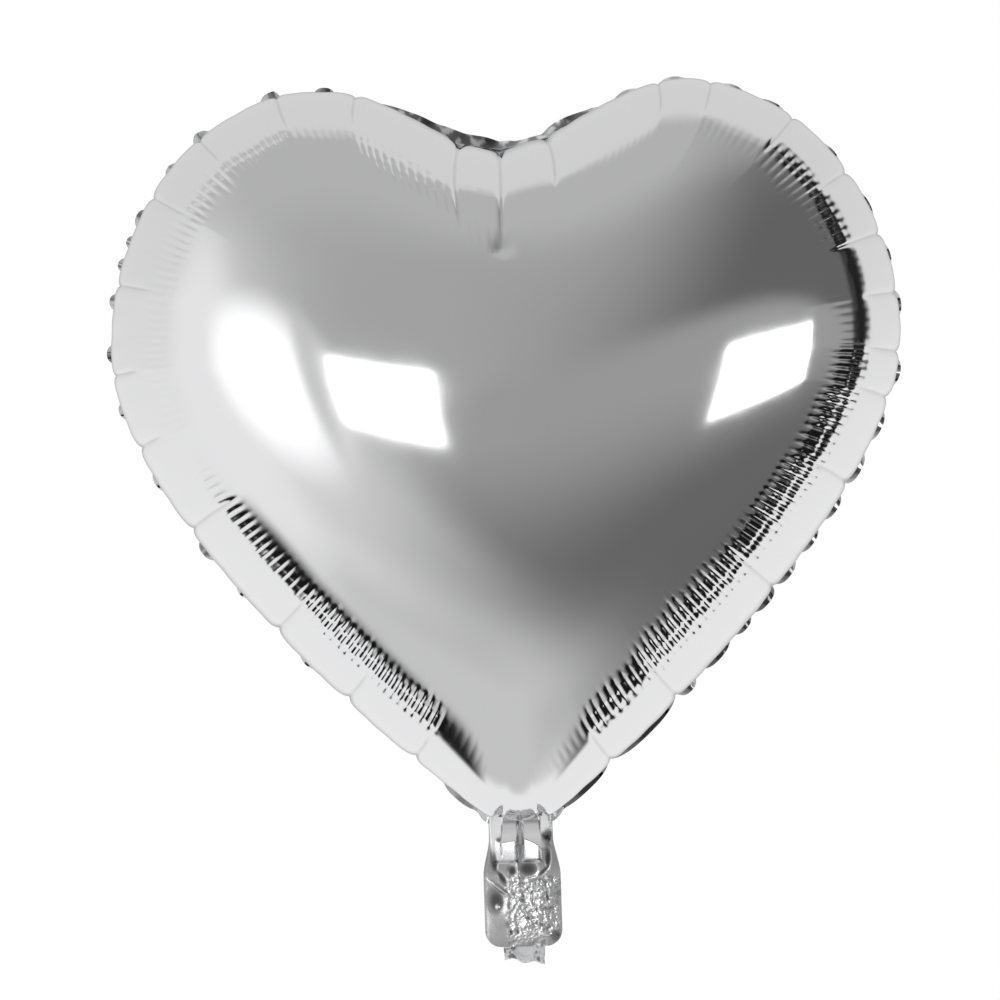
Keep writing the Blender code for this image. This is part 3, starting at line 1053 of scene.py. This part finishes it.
for piece, node in zip(tailSeals, ("tail_seal_left", "tail_seal_right")):
    piece.data.materials.append(fusedSealant)
    bendAtFold(piece)
    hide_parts(node)

for piece, node in ((mouthFront, "valve_mouth_front"), (mouthBack, "valve_mouth_back")):
    piece.data.materials.append(clearFilm)
    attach(piece, "tail")
    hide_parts(node)

for node in ("valve_sleeve_front", "valve_sleeve_back"):
    sleeve = bpy.data.objects[node]
    sleeve.data.materials.clear()
    sleeve.data.materials.append(clearFilm)
print("materials")

studio = {
    "distance": 2.2,
    "frameWidth": 0.4857,  # width of the view where the balloon hangs
    "aim": (-0.005, 0.163),
    "roll": math.radians(1.8),
    "floor": -0.42,
    "floorRadius": 2.3,
    "boxDistance": 2.4,
    "boxes": [(-15.3, 1.6, 15.0, 11.6), (44.0, -1.6, 24.5, 13.4)],  # turn, rise, width and height in degrees
    "boxPower": 9.0,
    "low": 0.90,  # brightness of the room under and over the balloon, as shown
    "high": 0.81,
    "lowToHigh": (-0.8, 0.8),
    "whiteFrom": (78, 86),  # degrees from straight in front at which the room turns white
    "behindFrom": (138, 172),
}

# soft panels in front of the balloon: turn and rise in degrees from straight in front, half width and height,
# softness of the edge, brightness as shown
frontPanels = [
    (33, 57, 90, 39, 0.41, 0.69),
    (-34, -64, 61, 30, 0.45, 0.76),
    (42, 14, 77, 38, 0.59, 0.63),
    (55, -1, 44, 71, 0.85, 0.38),
    (37, -8, 49, 21, 0.30, 0.59),
    (41, -25, 59, 15, 1.60, 0.39),
    (-54, -5, 15, 37, 0.75, 0.89),
    (-36, 1, 13, 15, 0.90, 1.06),
    (-25.2, 3, 2.2, 13, 0.90, 0.74),
]

# and behind it
backPanels = [
    (0, 0, 52, 46, 0.90, 0.64),
]

# unlit gaps at the side of the room: direction round the view line and half of their spread, softness of the
# ends, brightness, then between which degrees from straight in front they darken and end
darkGaps = [
    (20, 30, 0.5, 0.10, (75, 81), (86, 90)),
    (-36, 27, 0.4, 0.08, (66, 75), (86, 90)),
    (-131, 17, 0.4, 0.08, (64, 74), (85, 89)),
]


def asShown(level):
    # linear brightness of a level that is given as it looks
    return ((level + 0.055) / 1.055) ** 2.4 / foilFinish["bright"][0]


def makeCamera():
    camera = bpy.data.cameras.new("camera")
    camera.sensor_width = 36
    camera.lens = 36 * studio["distance"] / studio["frameWidth"]
    stand = bpy.data.objects.new("camera", camera)
    stand.location = (studio["aim"][0], -studio["distance"], studio["aim"][1])
    stand.rotation_euler = (math.pi / 2, studio["roll"], 0)
    bpy.context.scene.collection.objects.link(stand)
    bpy.context.scene.camera = stand


def makeBoxes():
    # two square soft boxes either side of the camera
    middle = Vector((0, 0, heart["crown"]))
    for index, (turn, rise, width, height) in enumerate(studio["boxes"]):
        light = bpy.data.lights.new(f"softBox{index}", "AREA")
        light.shape = "RECTANGLE"
        light.size = 2 * studio["boxDistance"] * math.tan(math.radians(width / 2))
        light.size_y = 2 * studio["boxDistance"] * math.tan(math.radians(height / 2))
        light.energy = studio["boxPower"] * light.size * light.size_y
        stand = bpy.data.objects.new(f"softBox{index}", light)
        turn, rise = math.radians(turn), math.radians(rise)
        away = Vector((math.sin(turn) * math.cos(rise), -math.cos(turn) * math.cos(rise), math.sin(rise)))
        stand.location = middle + studio["boxDistance"] * away
        stand.rotation_euler = away.to_track_quat("Z", "Y").to_euler()
        stand.visible_camera = False
        bpy.context.scene.collection.objects.link(stand)


def makeWorld():
    # a white room with soft grey panels and dark gaps, and plain white where the camera sees it
    world = bpy.data.worlds.new("studio")
    bpy.context.scene.world = world
    world.use_nodes = True
    nodes = world.node_tree.nodes
    links = world.node_tree.links

    def give(sockets, values):
        for socket, value in zip(sockets, values):
            if isinstance(value, (int, float)):
                socket.default_value = value
            else:
                links.new(value, socket)

    def calc(operation, a, b=0.0):
        node = nodes.new("ShaderNodeMath")
        node.operation = operation
        give(node.inputs, (a, b))
        return node.outputs[0]

    def blendLevel(amount, a, b):
        node = nodes.new("ShaderNodeMix")
        give((node.inputs[0], node.inputs[2], node.inputs[3]), (amount, a, b))
        return node.outputs[0]

    def fade(value, low, high):
        node = nodes.new("ShaderNodeMapRange")
        node.interpolation_type = "SMOOTHSTEP"
        links.new(value, node.inputs["Value"])
        node.inputs["From Min"].default_value = low
        node.inputs["From Max"].default_value = high
        return node.outputs[0]

    def addPanels(level, turn, rise, panels):
        for atTurn, atRise, halfWidth, halfHeight, edge, shown in panels:
            u = calc("DIVIDE", calc("SUBTRACT", turn, atTurn), halfWidth)
            v = calc("DIVIDE", calc("SUBTRACT", rise, atRise), halfHeight)
            out = calc("SQRT", calc("ADD", calc("MULTIPLY", u, u), calc("MULTIPLY", v, v)))
            level = blendLevel(fade(out, 1 + edge / 2, 1 - edge / 2), level, asShown(shown))
        return level

    place = nodes.new("ShaderNodeTexCoord")
    parts = nodes.new("ShaderNodeSeparateXYZ")
    links.new(place.outputs["Generated"], parts.inputs[0])
    x, y, z = parts.outputs
    away = calc("MULTIPLY", calc("ARCCOSINE", calc("MULTIPLY", y, -1)), math.degrees(1))
    across = calc("SQRT", calc("ADD", calc("MULTIPLY", x, x), calc("MULTIPLY", z, z)))
    across = calc("MAXIMUM", across, 0.0001)
    sideways = calc("DIVIDE", x, across)
    upwards = calc("DIVIDE", z, across)
    around = calc("MULTIPLY", calc("ARCTAN2", z, x), math.degrees(1))
    walls = blendLevel(fade(upwards, *studio["lowToHigh"]), asShown(studio["low"]), asShown(studio["high"]))
    lit = addPanels(walls, calc("MULTIPLY", sideways, away), calc("MULTIPLY", upwards, away), frontPanels)
    level = blendLevel(fade(away, *studio["whiteFrom"]), lit, walls)
    for middle, half, edge, shown, darkFrom, darkTo in darkGaps:
        gap = calc("MULTIPLY", fade(away, *darkFrom), fade(away, *reversed(darkTo)))
        offset = calc("DIVIDE", calc("ABSOLUTE", calc("SUBTRACT", around, middle)), half)
        amount = calc("MULTIPLY", gap, fade(offset, 1 + edge / 2, 1 - edge / 2))
        level = blendLevel(amount, level, asShown(shown))
    behind = calc("SUBTRACT", 180, away)
    turnBehind = calc("MULTIPLY", sideways, calc("MULTIPLY", behind, -1))
    lit = addPanels(walls, turnBehind, calc("MULTIPLY", upwards, behind), backPanels)
    level = blendLevel(fade(away, *studio["behindFrom"]), level, lit)
    room = nodes["Background"]
    links.new(level, room.inputs["Color"])
    backdrop = nodes.new("ShaderNodeBackground")
    backdrop.inputs["Color"].default_value = (1, 1, 1, 1)
    rays = nodes.new("ShaderNodeLightPath")
    mix = nodes.new("ShaderNodeMixShader")
    links.new(rays.outputs["Is Camera Ray"], mix.inputs[0])
    links.new(room.outputs[0], mix.inputs[1])
    links.new(backdrop.outputs[0], mix.inputs[2])
    links.new(mix.outputs[0], nodes["World Output"].inputs[0])


def makeFloor():
    deselectAll()
    bpy.ops.mesh.primitive_circle_add(
        vertices=96, radius=studio["floorRadius"], fill_type="NGON", location=(0, 0, studio["floor"])
    )
    floor = bpy.context.object
    floor.name = "floor"
    material = bpy.data.materials.new("paleFloor")
    material.use_nodes = True
    nodes = material.node_tree.nodes
    links = material.node_tree.links
    shader = nodes["Principled BSDF"]
    shader.inputs["Base Color"].default_value = (0.88, 0.88, 0.87, 1)
    shader.inputs["Roughness"].default_value = 0.8
    shader.inputs["Emission Color"].default_value = (1, 1, 1, 1)
    place = nodes.new("ShaderNodeTexCoord")
    away = nodes.new("ShaderNodeVectorMath")
    away.operation = "LENGTH"
    links.new(place.outputs["Object"], away.inputs[0])
    fade = nodes.new("ShaderNodeMapRange")
    fade.inputs["From Min"].default_value = 0.3 * studio["floorRadius"]
    fade.inputs["From Max"].default_value = studio["floorRadius"]
    fade.inputs["To Min"].default_value = 0.25
    links.new(away.outputs["Value"], fade.inputs["Value"])
    links.new(fade.outputs[0], shader.inputs["Emission Strength"])
    floor.data.materials.append(material)
    floor.visible_glossy = False


makeCamera()
makeBoxes()
makeWorld()
makeFloor()
bpy.context.scene.view_settings.view_transform = "Standard"
print("studio")
